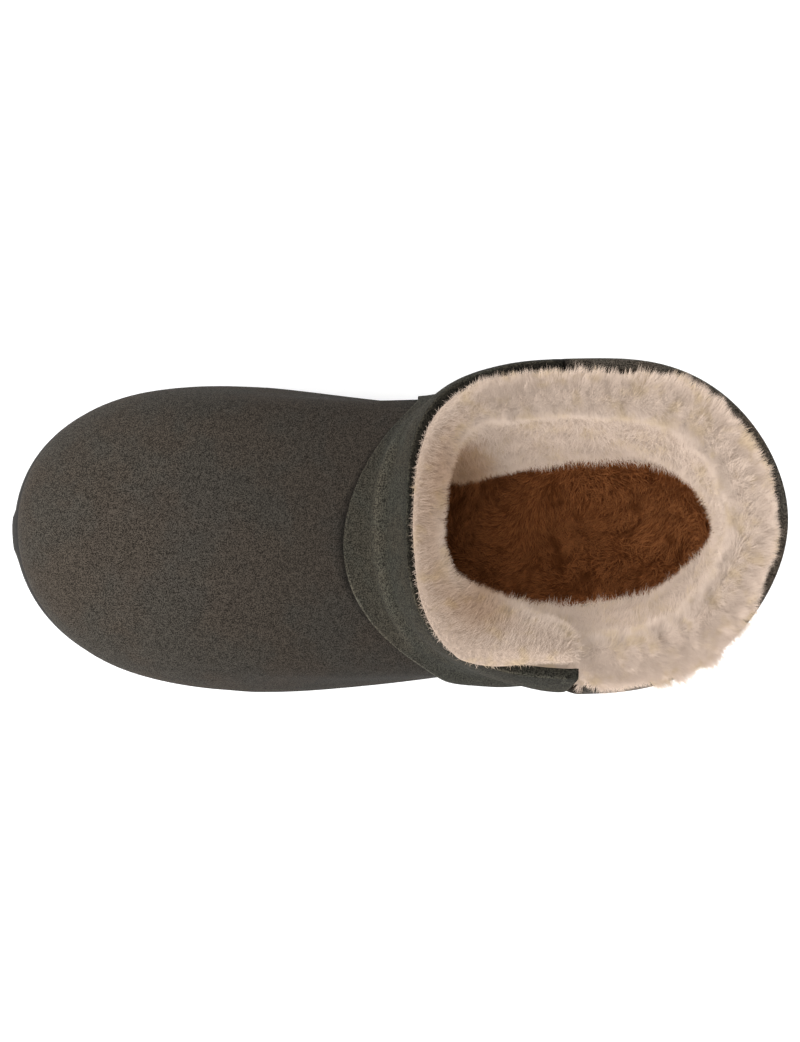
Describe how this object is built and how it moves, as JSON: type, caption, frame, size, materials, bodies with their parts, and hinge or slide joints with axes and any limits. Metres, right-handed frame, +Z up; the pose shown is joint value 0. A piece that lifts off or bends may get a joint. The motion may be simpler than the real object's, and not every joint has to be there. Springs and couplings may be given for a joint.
{
  "type": "bootie slipper",
  "caption": "Ankle-high suede slipper boot with a deep wool pile lining that stands over the collar, a wrap across the instep, an open side slit and a low lugged sole.",
  "frame": {"origin": "middle of the bounding box in plan, on the floor", "axes": "+X towards the heel, +Y towards the inner side of the foot, +Z up; the toe points to -X"},
  "size_m": [0.2648, 0.1134, 0.1345],
  "materials": {
    "dark_foam": "matte",
    "brown_pile": "matte",
    "cream_pile": "matte",
    "dark_suede": "matte",
    "wrap_suede": "matte"
  },
  "bodies": {
    "root": {"outsole": "dark_foam", "insole": "brown_pile", "fleece_lining": "cream_pile", "upper": "dark_suede", "front_wrap": "wrap_suede"}
  },
  "joints": []
}
